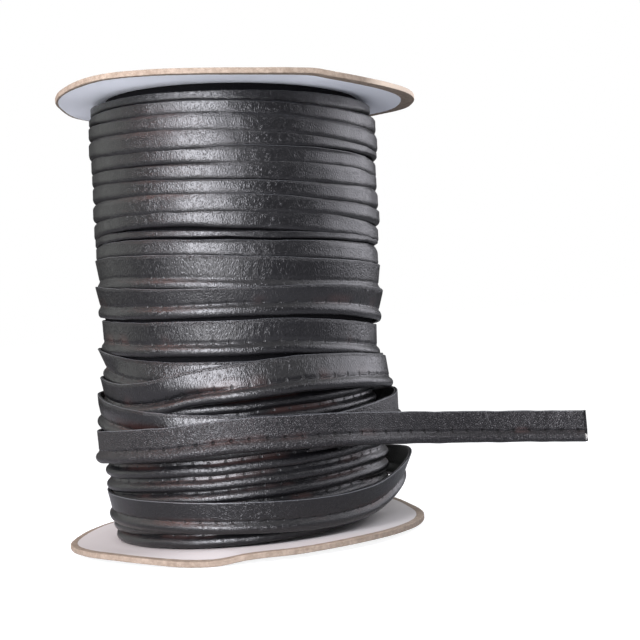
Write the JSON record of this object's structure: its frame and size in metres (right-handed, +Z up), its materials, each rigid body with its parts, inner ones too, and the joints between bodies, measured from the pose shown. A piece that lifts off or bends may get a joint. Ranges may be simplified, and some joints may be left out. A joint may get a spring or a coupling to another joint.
{
  "type": "roll of faux leather edging tape",
  "caption": "Card reel with two round kraft card flanges, wound with black faux leather edging tape that is stitched round a filler cord, with a slack turn near the foot and one loose end.",
  "frame": {"origin": "middle of the lower card's underside, on the floor", "axes": "+Z up along the reel, -Y the front, +X the side on which the loose end stands out"},
  "size_m": [0.2052, 0.14, 0.1762],
  "materials": {
    "tape": "black grained faux leather, low sheen",
    "card": "kraft board with a white liner on its inner face, matt"
  },
  "bodies": {
    "root": {"flange_bottom": "card", "flange_top": "card", "winding": "tape", "slack_turn": "tape", "loose_end": "tape"}
  },
  "joints": []
}
